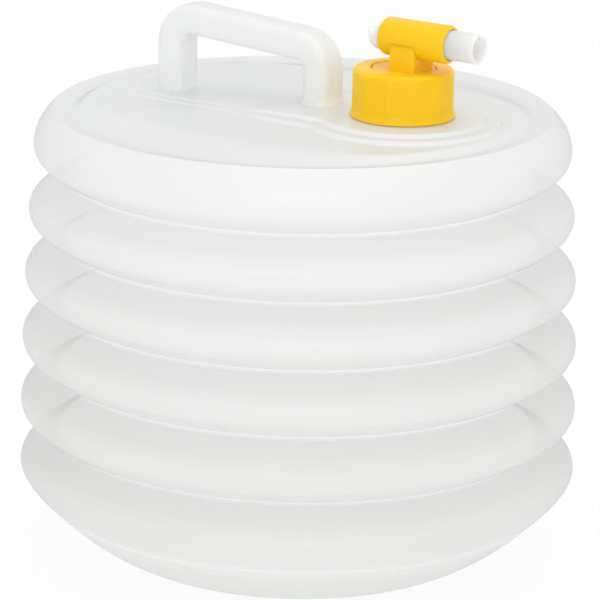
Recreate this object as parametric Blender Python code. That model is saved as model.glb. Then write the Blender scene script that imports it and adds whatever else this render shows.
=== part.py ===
"""Collapsible water container: a concertina bag with a carry handle and a push tap on a screw neck.

Units are metres, +Z is up and the bag stands on its foot at Z = 0, centred on the Z axis.
The handle and the neck lie on one diameter of the top, along X, with the neck at +X.
"""

import math

import bmesh
import bpy

# Bag, measured on its outer skin
FOLD_COUNT = 5
FOLD_PITCH = 0.0322
FOLD_DEPTH = 0.0200
FOLD_CURVE = 2.2
BASE_CREST_RADIUS = 0.1375
TOP_CREST_RADIUS = 0.1310
CREST_TAPER = 2.05
BAG_WALL = 0.0012
VALLEY_THICKENING = 1.5
SEAM_GAP = 0.0003

# Foot and base bulge
BASE_CREST_HEIGHT = 0.0460
BASE_EDGE_RADIUS = 0.1260
BASE_EDGE_HEIGHT = 0.0305
BASE_CURVE = 1.5
BOWL_CURVE = 1.75
FOOT_RADIUS = 0.0730
FOOT_WIDTH = 0.0130
DISH_RISE = 0.0050

# Shoulder, top plate and the raised pad under the handle and round the neck
SHOULDER_RISE = 0.0175
SHOULDER_RADIUS = 0.1220
SHOULDER_SOFTNESS = 0.0030
PLATEAU_RADIUS = 0.1060
PLATEAU_HALF_WIDTH = 0.0760
PLATEAU_CORNERS = 8.0
PLATEAU_RISE = 0.0026
PLATEAU_SLOPE = 0.0060
DOME_RISE = 0.0010
PAD_RISE = 0.0022
PAD_HALF_WIDTH = 0.0300
PAD_END = 0.0186
PAD_SLOPE = 0.0030
PAD_EDGE = 0.0006
BOSS_RADIUS = 0.0390

# Carry handle
HANDLE_BACK = -0.0760
HANDLE_FRONT = 0.0110
HANDLE_HEIGHT = 0.0400
HANDLE_FALL = 0.0040
HANDLE_THICKNESS = 0.0150
HANDLE_WIDTH = 0.0180
HANDLE_BEND = 0.0125
HANDLE_ROUNDING = 0.0048
HANDLE_FOOT_FLARE = 0.0014
HANDLE_FOOT_HEIGHT = 0.0060

# Neck
NECK_X = 0.0570
NECK_BORE_RADIUS = 0.0175
NECK_WALL = 0.0024
NECK_HEIGHT = 0.0164
NECK_EDGE = 0.0005

# Screw collar
COLLAR_FLATS = 12
COLLAR_FLAT_RADIUS = 0.0241
COLLAR_ROUNDING = 0.0034
COLLAR_TOP_WALL = 0.0024
COLLAR_HOLE_RADIUS = 0.0158
COLLAR_FLANGE_RADIUS = 0.0254
COLLAR_FLANGE_HEIGHT = 0.0032
COLLAR_EDGE = 0.0007
THREAD_ROOM = 0.0016

# Tap body and its gasket; the tap's own axis lies a little in front of the neck's
GASKET_THICKNESS = 0.0018
DISC_RADIUS = 0.0204
DISC_THICKNESS = 0.0024
HUB_BELOW_COLLAR = 0.0004
SPIGOT_DEPTH = 0.0036
SPIGOT_WALL = 0.0016
TAP_OFFSET = 0.0030
BARREL_RADIUS = 0.0092
BARREL_WALL = 0.0019
BARREL_BACK = -0.0135
BARREL_FRONT = 0.0235
BARREL_EDGE = 0.0012
BARREL_ABOVE_COLLAR = 0.0140
STEM_LENGTH = 0.0150
STEM_WIDTH = 0.0100
STEM_ROUNDING = 0.0012
PASSAGE_RADIUS = 0.0030

# Spout tube and its seals, measured along the barrel from the tap's axis
SPOUT_BORE_RADIUS = 0.0057
SPOUT_FRONT = 0.0390
SPOUT_BACK = -0.0153
SPOUT_TRAVEL = 0.0080
SPOUT_LIP = 0.0004
PORT_RADIUS = 0.0025
SEAL_WIDTH = 0.0016
SEAL_DEPTH = 0.0009
REAR_SEAL = -0.0124
MIDDLE_SEAL = -0.0041
FRONT_SEAL = 0.0050

# Clearances
SEAT_GAP = 0.0003
SPIGOT_GAP = 0.0004
SLIDE_GAP = 0.00015
TURN_GAP = 0.00040
SEAL_GAP = 0.00010

# Facets
BAG_SEGMENTS = 36
COLLAR_SEGMENTS = 48
SMALL_SEGMENTS = 24
HOLE_SEGMENTS = 20
FOLD_STEPS = 4
INNER_FOLD_STEPS = 3
BOWL_STEPS = 4
BOSS_STEPS = 16
PAD_END_STEPS = 12
BEND_STEPS = 6
CORNER_STEPS = 3
ROUNDING_STEPS = 3
DOME_STEPS = 6
SHARP_ANGLE = math.radians(32)

# Heights that follow from the sizes above
TOP_CREST_HEIGHT = BASE_CREST_HEIGHT + FOLD_COUNT * FOLD_PITCH
SHOULDER_HEIGHT = TOP_CREST_HEIGHT + SHOULDER_RISE
PLATEAU_HEIGHT = SHOULDER_HEIGHT + PLATEAU_RISE
PAD_HEIGHT = PLATEAU_HEIGHT + PAD_RISE
NECK_RIM = PAD_HEIGHT + NECK_HEIGHT
NECK_RADIUS = NECK_BORE_RADIUS + NECK_WALL
GASKET_BOTTOM = NECK_RIM + SEAT_GAP
DISC_BOTTOM = GASKET_BOTTOM + GASKET_THICKNESS + SEAT_GAP
DISC_TOP = DISC_BOTTOM + DISC_THICKNESS
COLLAR_BOTTOM = PAD_HEIGHT + SEAT_GAP
COLLAR_TOP = DISC_TOP + SEAT_GAP + COLLAR_TOP_WALL
COLLAR_HEIGHT = COLLAR_TOP - COLLAR_BOTTOM
HUB_TOP = COLLAR_TOP - HUB_BELOW_COLLAR
HUB_RADIUS = COLLAR_HOLE_RADIUS - TURN_GAP
TAP_X = NECK_X + TAP_OFFSET
BARREL_HEIGHT = COLLAR_TOP + BARREL_ABOVE_COLLAR
BARREL_BORE_RADIUS = BARREL_RADIUS - BARREL_WALL
SPOUT_RADIUS = BARREL_BORE_RADIUS - SLIDE_GAP


def clear_scene():
    for thing in list(bpy.data.objects):
        bpy.data.objects.remove(thing)


def make_material(name, colour, roughness, alpha=1.0):
    material = bpy.data.materials.new(name)
    material.use_nodes = True
    shader = material.node_tree.nodes["Principled BSDF"]
    shader.inputs["Base Color"].default_value = (*colour, 1.0)
    shader.inputs["Roughness"].default_value = roughness
    shader.inputs["Metallic"].default_value = 0.0
    shader.inputs["Alpha"].default_value = alpha
    return material


def add_object(name, mesh_builder, location=(0, 0, 0), material=None):
    """A new object from a bmesh whose points are measured from its location."""
    bmesh.ops.recalc_face_normals(mesh_builder, faces=mesh_builder.faces)
    mesh = bpy.data.meshes.new(name)
    mesh_builder.to_mesh(mesh)
    mesh_builder.free()
    mesh.shade_smooth()
    mesh.set_sharp_from_angle(angle=SHARP_ANGLE)
    thing = bpy.data.objects.new(name, mesh)
    thing.location = location
    if material:
        mesh.materials.append(material)
    bpy.context.scene.collection.objects.link(thing)
    return thing


def as_cutter(thing):
    thing.hide_render = True
    thing.display_type = "WIRE"
    return thing


def combine(thing, other, operation):
    """Adds an exact Boolean with a helper, which is hidden."""
    modifier = thing.modifiers.new(f"{operation.lower()} {other.name}", "BOOLEAN")
    modifier.operation = operation
    modifier.solver = "EXACT"
    modifier.object = as_cutter(other)


def ring(radius, height, segments, outline=None):
    """Points round the Z axis; outline gives the radius at an angle where it isn't round."""
    points = []
    for step in range(segments):
        angle = 2 * math.pi * step / segments
        reach = outline(angle, radius) if outline else radius
        points.append((reach * math.cos(angle), reach * math.sin(angle), height))
    return points


def loft(rings, closed):
    """A skin through rings of points, closed into a loop or capped at both ends.

    A ring of one point is a pole.
    """
    builder = bmesh.new()
    rows = [[builder.verts.new(point) for point in points] for points in rings]
    following = rows[1:] + rows[:1] if closed else rows[1:]
    for lower, upper in zip(rows, following):
        count = max(len(lower), len(upper))
        for step in range(count):
            after = (step + 1) % count
            corners = [lower[step % len(lower)], lower[after % len(lower)]]
            corners += [upper[after % len(upper)], upper[step % len(upper)]]
            corners = list(dict.fromkeys(corners))
            if len(corners) > 2:
                builder.faces.new(corners)
    for row in (rows[0], rows[-1]):
        if len(row) > 1 and not closed:
            builder.faces.new(row)
    return builder


def turned(profile, segments, closed=True):
    """A profile of (radius, height) points turned round the Z axis."""
    rings = [
        ring(radius, height, segments) if radius > 0 else [(0, 0, height)]
        for radius, height in profile
    ]
    return loft(rings, closed)


def cylinder(name, radius, low, high, segments, edge=0.0):
    """A capped cylinder, with its end edges cut back where an edge is given."""
    profile = [(radius, high - edge), (radius, low + edge)]
    if edge:
        profile = [(radius - edge, high)] + profile + [(radius - edge, low)]
    return add_object(name, turned(profile, segments, closed=False))


def rounded_corner(radius, height, rounding):
    """Profile points of an outer top corner, from its side up to its top."""
    points = []
    for step in range(ROUNDING_STEPS + 1):
        angle = math.pi / 2 * step / ROUNDING_STEPS
        side = radius - rounding + rounding * math.cos(angle)
        points.append((side, height - rounding + rounding * math.sin(angle)))
    return points


def aim_along_x(thing):
    thing.rotation_euler = (0, math.pi / 2, 0)
    return thing


def turn_half_a_facet(thing, segments):
    """Keeps the corners of a cross hole off the corners of what it cuts."""
    thing.rotation_euler.z = math.pi / segments
    return thing


def offset_inward(profile, distance):
    """The profile moved to the left of its direction by the distance, mitred at its points."""
    moved = []
    for index, (radius, height) in enumerate(profile):
        sides = []
        for a, b in ((index - 1, index), (index, index + 1)):
            if a < 0 or b >= len(profile):
                continue
            along = (profile[b][0] - profile[a][0], profile[b][1] - profile[a][1])
            length = math.hypot(*along)
            sides.append((-along[1] / length, along[0] / length))
        mean = [sum(side[axis] for side in sides) / len(sides) for axis in (0, 1)]
        stretch = distance / (mean[0] ** 2 + mean[1] ** 2)
        moved.append((radius + mean[0] * stretch, height + mean[1] * stretch))
    return moved


def crest_radius(index):
    """Outer radius of crest 0 at the base to crest FOLD_COUNT at the top."""
    share = (index / FOLD_COUNT) ** CREST_TAPER
    return BASE_CREST_RADIUS - (BASE_CREST_RADIUS - TOP_CREST_RADIUS) * share


def crest_height(index):
    return BASE_CREST_HEIGHT + index * FOLD_PITCH


def bulge(start, end, steps=FOLD_STEPS, curve=FOLD_CURVE):
    """Points from a crest to a fold or an edge: upright at the crest, and flatter further in."""
    points = []
    for step in range(steps + 1):
        share = step / steps
        inward = (start[0] - end[0]) * share**curve
        points.append((start[0] - inward, start[1] + (end[1] - start[1]) * share))
    return points


def make_fold(index, material):
    """One V ring, from the crest below it to the crest above it."""
    low = crest_height(index) + SEAM_GAP / 2
    high = crest_height(index + 1) - SEAM_GAP / 2
    middle = (low + high) / 2
    valley = (crest_radius(index) + crest_radius(index + 1)) / 2 - FOLD_DEPTH
    skins = []
    for steps in (FOLD_STEPS, INNER_FOLD_STEPS):
        lower = bulge((crest_radius(index), low), (valley, middle), steps)
        upper = bulge((crest_radius(index + 1), high), (valley, middle), steps)
        skins.append(lower + upper[-2::-1])
    outer = skins[0]
    inner = offset_inward(skins[1], BAG_WALL)
    inner[0] = (inner[0][0], low)
    inner[-1] = (inner[-1][0], high)
    inner[INNER_FOLD_STEPS] = (valley - BAG_WALL * VALLEY_THICKENING, middle)
    profile = [(radius, height - low) for radius, height in outer + inner[::-1]]
    builder = turned(profile, BAG_SEGMENTS)
    return add_object(f"fold_{index + 1}", builder, (0, 0, low), material)


def make_base_shell(material):
    """Lower half of the base bulge, the bowl under it, the foot ring and the dished middle."""
    top = BASE_CREST_HEIGHT - SEAM_GAP / 2
    foot_inside = FOOT_RADIUS - FOOT_WIDTH
    edge = (BASE_EDGE_RADIUS, BASE_EDGE_HEIGHT)
    outer = bulge((BASE_CREST_RADIUS, top), edge, INNER_FOLD_STEPS, BASE_CURVE)
    for step in range(1, BOWL_STEPS + 1):
        share = step / BOWL_STEPS
        radius = BASE_EDGE_RADIUS + (FOOT_RADIUS - BASE_EDGE_RADIUS) * share
        outer.append((radius, BASE_EDGE_HEIGHT * (1 - share) ** BOWL_CURVE))
    outer.append((foot_inside, 0.0))
    outer.append((foot_inside - DISH_RISE, DISH_RISE))
    outer.append((0.0, DISH_RISE))
    inner = offset_inward(outer, -BAG_WALL)
    inner[0] = (inner[0][0], top)
    inner[-1] = (0.0, DISH_RISE + BAG_WALL)
    return add_object("base_shell", turned(outer + inner[::-1], BAG_SEGMENTS), material=material)


def plateau_outline(angle, radius):
    """Radius of the top plate's raised area, which has two straight sides along X."""
    straight = PLATEAU_HALF_WIDTH * radius / PLATEAU_RADIUS / max(abs(math.sin(angle)), 1e-6)
    return (radius**-PLATEAU_CORNERS + straight**-PLATEAU_CORNERS) ** (-1 / PLATEAU_CORNERS)


def make_top_skin(material):
    """Upper half of the top bulge, the shoulder and the closed top plate."""
    low = TOP_CREST_HEIGHT + SEAM_GAP / 2
    wall = bulge((TOP_CREST_RADIUS, low), (SHOULDER_RADIUS, SHOULDER_HEIGHT))
    inner_wall = offset_inward(wall, BAG_WALL)
    inner_wall[0] = (inner_wall[0][0], low)
    inner_wall[-1] = (SHOULDER_RADIUS - BAG_WALL, SHOULDER_HEIGHT - BAG_WALL)
    rim = SHOULDER_RADIUS - SHOULDER_SOFTNESS
    slope_foot = PLATEAU_RADIUS + PLATEAU_SLOPE
    flat = PLATEAU_RADIUS - PLATEAU_SLOPE
    halfway = PLATEAU_RADIUS / 2
    plate = [
        ring(rim, SHOULDER_HEIGHT + PLATEAU_RISE / 5, BAG_SEGMENTS),
        ring(slope_foot, SHOULDER_HEIGHT + PLATEAU_RISE / 2, BAG_SEGMENTS, plateau_outline),
        ring(PLATEAU_RADIUS, PLATEAU_HEIGHT - PLATEAU_RISE / 10, BAG_SEGMENTS, plateau_outline),
        ring(flat, PLATEAU_HEIGHT, BAG_SEGMENTS, plateau_outline),
        ring(halfway, PLATEAU_HEIGHT + DOME_RISE * 3 / 4, BAG_SEGMENTS),
        [(0, 0, PLATEAU_HEIGHT + DOME_RISE)],
    ]
    under = [[(x, y, z - BAG_WALL) for x, y, z in points] for points in plate]
    rings = [ring(radius, height, BAG_SEGMENTS) for radius, height in wall]
    rings += plate + under[::-1]
    rings += [ring(radius, height, BAG_SEGMENTS) for radius, height in inner_wall[::-1]]
    return add_object("top_shell", loft(rings, closed=True), material=material)


def pad_outline(spread):
    """Outline of the raised pad: a bar with a round end under the handle, and a disc round the neck."""
    half = PAD_HALF_WIDTH + spread
    boss = BOSS_RADIUS + spread
    end = PAD_END + spread
    meet = math.asin(min(1.0, half / boss))
    points = []
    for step in range(BOSS_STEPS + 1):
        angle = (math.pi - meet) * (1 - 2 * step / BOSS_STEPS)
        points.append((NECK_X + boss * math.cos(angle), boss * math.sin(angle)))
    for step in range(PAD_END_STEPS + 1):
        angle = -math.pi / 2 - step * math.pi / PAD_END_STEPS
        points.append((HANDLE_BACK + end * math.cos(angle), half * math.sin(angle)))
    return points


def make_pad():
    """The raised pad, with a sloping side and a cut-back edge, rooted in the plate's thickness."""
    root = PLATEAU_HEIGHT - BAG_WALL / 2
    levels = [(PAD_SLOPE, root), (PAD_SLOPE, PLATEAU_HEIGHT)]
    levels += [(0.0, PAD_HEIGHT - PAD_EDGE / 2), (-PAD_EDGE, PAD_HEIGHT)]
    rings = [[(x, y, height) for x, y in pad_outline(spread)] for spread, height in levels]
    return add_object("pad", loft(rings, closed=False))


def make_top_shell(material):
    shell = make_top_skin(material)
    below = SHOULDER_HEIGHT - BAG_WALL
    above = PAD_HEIGHT + BAG_WALL
    bore = cylinder("neck_bore", NECK_BORE_RADIUS, below, above, COLLAR_SEGMENTS)
    bore.location.x = NECK_X
    combine(shell, make_pad(), "UNION")
    combine(shell, bore, "DIFFERENCE")
    return shell


def make_neck(material):
    """The neck that carries the collar, from the pad up to its sealing rim."""
    height = NECK_RIM - PAD_HEIGHT - SEAT_GAP
    profile = [
        (NECK_RADIUS, 0.0),
        (NECK_RADIUS, height - NECK_EDGE),
        (NECK_RADIUS - NECK_EDGE, height),
        (NECK_BORE_RADIUS + NECK_EDGE, height),
        (NECK_BORE_RADIUS, height - NECK_EDGE),
        (NECK_BORE_RADIUS, 0.0),
    ]
    builder = turned(profile, COLLAR_SEGMENTS)
    return add_object("neck", builder, (NECK_X, 0, PAD_HEIGHT + SEAT_GAP), material)


def rounded_section(thickness, width, rounding, corner_steps=CORNER_STEPS):
    """Corners of a rounded rectangle as (along thickness, along width) pairs."""
    points = []
    centres = ((1, 1), (-1, 1), (-1, -1), (1, -1))
    for corner, (u_side, v_side) in enumerate(centres):
        for step in range(corner_steps + 1):
            angle = math.pi / 2 * (corner + step / corner_steps)
            u = u_side * (thickness / 2 - rounding) + rounding * math.cos(angle)
            v = v_side * (width / 2 - rounding) + rounding * math.sin(angle)
            points.append((u, v))
    return points


def handle_route():
    """Points of the handle's middle line, each with the angle of its outward side and its flare.

    The grip falls a little from the back post to the front post."""
    foot = PAD_HEIGHT + SEAT_GAP
    bend = HANDLE_BEND
    front = SHOULDER_HEIGHT + HANDLE_HEIGHT - HANDLE_THICKNESS / 2 - bend
    back = front + HANDLE_FALL
    tilt = math.atan(HANDLE_FALL / (HANDLE_FRONT - HANDLE_BACK - 2 * bend))
    upright = math.pi / 2 - tilt
    ankle = [(HANDLE_FOOT_FLARE, 0.0), (HANDLE_FOOT_FLARE / 3, 0.5), (0.0, 1.0)]
    route = []
    for flare, share in ankle:
        route.append((HANDLE_BACK, foot + HANDLE_FOOT_HEIGHT * share, math.pi, flare))
    for step in range(BEND_STEPS + 1):
        angle = math.pi - step * (math.pi - upright) / BEND_STEPS
        x = HANDLE_BACK + bend + bend * math.cos(angle)
        route.append((x, back + bend * math.sin(angle), angle, 0.0))
    for step in range(BEND_STEPS + 1):
        angle = upright - step * upright / BEND_STEPS
        x = HANDLE_FRONT - bend + bend * math.cos(angle)
        route.append((x, front + bend * math.sin(angle), angle, 0.0))
    for flare, share in ankle[::-1]:
        route.append((HANDLE_FRONT, foot + HANDLE_FOOT_HEIGHT * share, 0.0, flare))
    return route


def make_handle(material):
    rings = []
    for x, z, outward, flare in handle_route():
        grown = HANDLE_THICKNESS + 2 * flare, HANDLE_WIDTH + 2 * flare
        section = rounded_section(*grown, HANDLE_ROUNDING + flare)
        rings.append([(x + u * math.cos(outward), v, z + u * math.sin(outward)) for u, v in section])
    return add_object("handle", loft(rings, closed=False), material=material)


def flat_outline(angle, radius):
    """Distance to the side of a many-sided collar whose flats lie at this radius."""
    sector = 2 * math.pi / COLLAR_FLATS
    from_flat = (angle + sector / 2) % sector - sector / 2
    return radius / math.cos(from_flat)


def make_screw_collar(material):
    """Round foot flange, twelve flats under a rounded shoulder, and the bore and hole inside."""
    count = COLLAR_SEGMENTS
    thread_radius = NECK_RADIUS + THREAD_ROOM
    ceiling = COLLAR_HEIGHT - COLLAR_TOP_WALL
    flange = rounded_corner(COLLAR_FLANGE_RADIUS, COLLAR_FLANGE_HEIGHT, COLLAR_EDGE)
    shoulder = rounded_corner(COLLAR_FLAT_RADIUS, COLLAR_HEIGHT, COLLAR_ROUNDING)
    rings = [ring(COLLAR_FLANGE_RADIUS, 0.0, count)]
    rings += [ring(radius, height, count) for radius, height in flange[:-1]]
    rings.append(ring(COLLAR_FLAT_RADIUS, COLLAR_FLANGE_HEIGHT, count, flat_outline))
    rings += [ring(radius, height, count, flat_outline) for radius, height in shoulder]
    rings += [
        ring(COLLAR_HOLE_RADIUS, COLLAR_HEIGHT, count),
        ring(COLLAR_HOLE_RADIUS, ceiling, count),
        ring(thread_radius, ceiling, count),
        ring(thread_radius, 0.0, count),
    ]
    builder = loft(rings, closed=True)
    return add_object("screw_collar", builder, (NECK_X, 0, COLLAR_BOTTOM), material)


def make_neck_gasket(material):
    inside = NECK_BORE_RADIUS + SEAL_GAP
    profile = [
        (inside, GASKET_THICKNESS),
        (DISC_RADIUS, GASKET_THICKNESS),
        (DISC_RADIUS, 0.0),
        (inside, 0.0),
    ]
    builder = turned(profile, COLLAR_SEGMENTS)
    return add_object("neck_gasket", builder, (NECK_X, 0, GASKET_BOTTOM), material)


def make_tap_disc(material):
    """Sealing disc, the hub that fills the collar's hole, and the ring that drops into the neck."""
    spigot = NECK_BORE_RADIUS - SPIGOT_GAP
    hub = HUB_TOP - DISC_BOTTOM
    profile = [
        (HUB_RADIUS - BARREL_EDGE / 4, hub),
        (HUB_RADIUS, hub - BARREL_EDGE / 4),
        (HUB_RADIUS, DISC_THICKNESS),
        (DISC_RADIUS, DISC_THICKNESS),
        (DISC_RADIUS, 0.0),
        (spigot, 0.0),
        (spigot, -SPIGOT_DEPTH),
        (spigot - SPIGOT_WALL, -SPIGOT_DEPTH),
        (spigot - SPIGOT_WALL, 0.0),
    ]
    builder = turned(profile, COLLAR_SEGMENTS, closed=False)
    return add_object("tap_body", builder, (NECK_X, 0, DISC_BOTTOM), material)


def make_stem():
    """The block with rounded corners that carries the barrel, rooted in the hub."""
    low = HUB_TOP - DISC_THICKNESS / 2
    high = BARREL_HEIGHT + BARREL_WALL / 2
    section = rounded_section(STEM_LENGTH, STEM_WIDTH, STEM_ROUNDING, ROUNDING_STEPS - 1)
    rings = [[(x, y, height) for x, y in section] for height in (low, high)]
    return add_object("stem", loft(rings, closed=False), (TAP_X, 0, 0))


def make_tap_body(material):
    body = make_tap_disc(material)
    count = SMALL_SEGMENTS
    barrel = cylinder("barrel", BARREL_RADIUS, BARREL_BACK, BARREL_FRONT, count, BARREL_EDGE)
    bore = cylinder("barrel_bore", BARREL_BORE_RADIUS, BARREL_BACK * 2, BARREL_FRONT * 2, count)
    for thing in (barrel, bore):
        thing.location = (TAP_X, 0, BARREL_HEIGHT)
        aim_along_x(thing)
    reach = BARREL_HEIGHT - DISC_BOTTOM
    passage = cylinder("passage", PASSAGE_RADIUS, -SPIGOT_DEPTH, reach, HOLE_SEGMENTS)
    passage.location = (TAP_X, 0, DISC_BOTTOM)
    turn_half_a_facet(passage, HOLE_SEGMENTS)
    combine(body, make_stem(), "UNION")
    combine(body, barrel, "UNION")
    combine(body, bore, "DIFFERENCE")
    combine(body, passage, "DIFFERENCE")
    return body


def spout_profile():
    """Closed dome at the back, three seal grooves, open mouth at the front, and the bore."""
    groove = SPOUT_RADIUS - SEAL_DEPTH
    profile = []
    for step in range(DOME_STEPS + 1):
        angle = math.pi / 2 * step / DOME_STEPS
        profile.append((SPOUT_RADIUS * math.sin(angle), SPOUT_BACK - SPOUT_RADIUS * math.cos(angle)))
    for place in (REAR_SEAL, MIDDLE_SEAL, FRONT_SEAL):
        low, high = place - SEAL_WIDTH / 2 - SEAL_GAP, place + SEAL_WIDTH / 2 + SEAL_GAP
        profile += [(SPOUT_RADIUS, low), (groove, low), (groove, high), (SPOUT_RADIUS, high)]
    profile += [(SPOUT_RADIUS, SPOUT_FRONT - SPOUT_LIP), (SPOUT_RADIUS - SPOUT_LIP, SPOUT_FRONT)]
    profile += [(SPOUT_BORE_RADIUS, SPOUT_FRONT)]
    profile += [(SPOUT_BORE_RADIUS, REAR_SEAL), (0.0, REAR_SEAL)]
    return profile


def make_spout_tube(material):
    builder = turned(spout_profile(), SMALL_SEGMENTS, closed=False)
    tube = aim_along_x(add_object("spout_tube", builder, (TAP_X, 0, BARREL_HEIGHT), material))
    port = cylinder("port", PORT_RADIUS, -BARREL_RADIUS, 0.0, HOLE_SEGMENTS)
    port.location = (TAP_X - SPOUT_TRAVEL, 0, BARREL_HEIGHT)
    turn_half_a_facet(port, HOLE_SEGMENTS)
    combine(tube, port, "DIFFERENCE")
    return tube


def make_spout_seal(name, place, material):
    inside = SPOUT_RADIUS - SEAL_DEPTH + SEAL_GAP
    outside = BARREL_BORE_RADIUS - SEAL_GAP
    half = SEAL_WIDTH / 2
    middle = (inside + outside) / 2
    reach = (outside - inside) / 2
    profile = []
    for step in range(DOME_STEPS):
        angle = 2 * math.pi * step / DOME_STEPS
        profile.append((middle + reach * math.cos(angle), place + half * math.sin(angle)))
    builder = turned(profile, SMALL_SEGMENTS)
    return aim_along_x(add_object(name, builder, (TAP_X, 0, BARREL_HEIGHT), material))


def build():
    clear_scene()
    milky = (0.90, 0.91, 0.90)
    bag_alpha = 0.55
    make_base_shell(make_material("bag_base", milky, 0.35, bag_alpha))
    for index in range(FOLD_COUNT):
        make_fold(index, make_material(f"bag_fold_{index + 1}", milky, 0.35, bag_alpha))
    make_top_shell(make_material("bag_top", milky, 0.35, bag_alpha))
    make_neck(make_material("bag_neck", milky, 0.35, bag_alpha))
    make_handle(make_material("bag_handle", milky, 0.38, 0.8))
    yellow = (0.93, 0.48, 0.02)
    make_neck_gasket(make_material("gasket_rubber", (0.75, 0.75, 0.73), 0.6))
    make_screw_collar(make_material("collar_yellow", yellow, 0.35))
    make_tap_body(make_material("tap_yellow", yellow, 0.35))
    make_spout_tube(make_material("spout_white", (0.92, 0.93, 0.90), 0.3))
    seals = (("rear", REAR_SEAL), ("middle", MIDDLE_SEAL), ("front", FRONT_SEAL))
    for word, place in seals:
        seal_rubber = make_material(f"{word}_seal_rubber", (0.05, 0.05, 0.05), 0.6)
        make_spout_seal(f"spout_seal_{word}", place, seal_rubber)


build()
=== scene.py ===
import math

import bmesh
import bpy
from mathutils import Matrix, Vector


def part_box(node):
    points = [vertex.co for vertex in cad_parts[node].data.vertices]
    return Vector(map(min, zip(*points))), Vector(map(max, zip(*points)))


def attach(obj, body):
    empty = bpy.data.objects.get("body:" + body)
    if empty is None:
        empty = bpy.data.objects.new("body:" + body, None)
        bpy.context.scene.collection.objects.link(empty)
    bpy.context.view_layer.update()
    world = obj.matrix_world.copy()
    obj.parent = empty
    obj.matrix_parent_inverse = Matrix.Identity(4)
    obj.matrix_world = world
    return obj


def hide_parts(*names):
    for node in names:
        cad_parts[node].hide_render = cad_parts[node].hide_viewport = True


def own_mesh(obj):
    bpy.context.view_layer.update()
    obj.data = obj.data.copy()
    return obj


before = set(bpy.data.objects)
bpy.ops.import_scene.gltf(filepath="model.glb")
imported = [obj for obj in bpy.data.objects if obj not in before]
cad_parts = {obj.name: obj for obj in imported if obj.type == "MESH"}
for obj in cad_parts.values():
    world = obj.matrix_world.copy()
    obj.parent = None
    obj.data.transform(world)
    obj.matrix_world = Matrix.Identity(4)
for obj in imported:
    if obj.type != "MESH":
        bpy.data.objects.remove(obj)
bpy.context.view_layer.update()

# Bag sizes that the boxes of the nodes do not give, in metres
BAG_WALL = 0.0012
FOLD_DEPTH = 0.0200
FOLD_CURVE = 2.2
CREASE_REACH = 0.0014
BASE_EDGE_RADIUS = 0.1260
BASE_EDGE_HEIGHT = 0.0305
BASE_CURVE = 1.5
BOWL_CURVE = 1.75
EDGE_REACH = 0.0030
FOOT_RADIUS = 0.0730
FOOT_WIDTH = 0.0130
FOOT_REACH = 0.0020
DISH_RISE = 0.0050
DISH_WIDTH = 0.0200
SHOULDER_RADIUS = 0.1220
SHOULDER_HEIGHT = 0.2245
SHOULDER_REACH = 0.0006
SLOPE_START = 0.0090
SLOPE_FALL = 0.0017

# Top plate and raised pad
PLATE_RISE = 0.0012
PLATEAU_RADIUS = 0.1060
PLATEAU_HALF_WIDTH = 0.0760
PLATEAU_RISE = 0.0026
PLATEAU_CORNERS = 8.0
DOME_RISE = 0.0010
DIP_DEPTH = 0.0022
DIP_PLACE = (-0.0680, -0.0040)
DIP_REACH = (0.0480, 0.0620)
PAD_RISE = 0.0022
PAD_HALF_WIDTH = 0.0300
PAD_END = 0.0186
PAD_END_HALF_WIDTH = 0.0190
PAD_SLOPE = 0.0095
PAD_STEP = 0.0018
PAD_STEP_SHARE = 0.5
PAD_LEVEL_FROM = 0.0200
PAD_FALL = 0.0078
PAD_LEAST_RISE = 0.0009
BOSS_RADIUS = 0.0390

# Handle
HANDLE_BACK = -0.0760
HANDLE_FRONT = 0.0110
HANDLE_THICKNESS = 0.0150
HANDLE_WIDTH = 0.0180
HANDLE_BEND = 0.0125
HANDLE_FALL = 0.0040
HANDLE_ROUNDING = 0.0046
HANDLE_FLARE = 0.0014
HANDLE_FLARE_HEIGHT = 0.0060
HANDLE_FLARE_CURVE = 2.5

# Neck and threads
NECK_BORE_RADIUS = 0.0175
NECK_WALL = 0.0024
NECK_FILLET = 0.0016
NECK_EDGE = 0.0006
THREAD_PITCH = 0.0045
THREAD_HEIGHT = 0.0009
THREAD_RUN_OUT = 0.0012
THREAD_STEEPNESS = 1.6
THREAD_GAP = 0.2

# Collar
COLLAR_FLATS = 12
COLLAR_FLAT_RADIUS = 0.0241
COLLAR_CORNER_SHARE = 1.034
COLLAR_TOP_CORNER_SHARE = 1.03
COLLAR_BEYOND = 1.2
COLLAR_SOFTNESS = 0.00006
COLLAR_FLANGE_RADIUS = 0.0254
COLLAR_FLANGE_HEIGHT = 0.0040
COLLAR_FLARE = 0.0012
COLLAR_HOLE_RADIUS = 0.0158
COLLAR_ROUNDING = 0.0036
COLLAR_TOP_WALL = 0.0024
COLLAR_BORE_RADIUS = 0.0215
COLLAR_EDGE = 0.0005
COLLAR_LEAD_IN = 0.0015

# Tap
TAP_OFFSET = 0.0030
DISC_RADIUS = 0.0204
DISC_THICKNESS = 0.0024
HUB_RADIUS = 0.0154
HUB_BELOW_COLLAR = 0.0004
SPIGOT_DEPTH = 0.0036
SPIGOT_RADIUS = 0.0171
SPIGOT_WALL = 0.0016
PASSAGE_RADIUS = 0.0030
STEM_LENGTH = 0.0140
STEM_WIDTH = 0.0180
STEM_OFFSET = 0.0010
STEM_ROUNDING = 0.0011
STEM_FILLET = 0.0009
BARREL_RADIUS = 0.0092
BARREL_WALL = 0.0018
BARREL_BACK = -0.0135
BARREL_CHAMFER = 0.0014
BARREL_BORE_EDGE = 0.0003
BARREL_SIDE_SHARE = 0.98

# Soft edge of the barrel's ends: shares of the chamfer taken off the radius, and along the barrel
BARREL_EDGE = ((1.0, 0.0), (1 / 7, 0.86), (0.0, 1.25))

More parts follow.
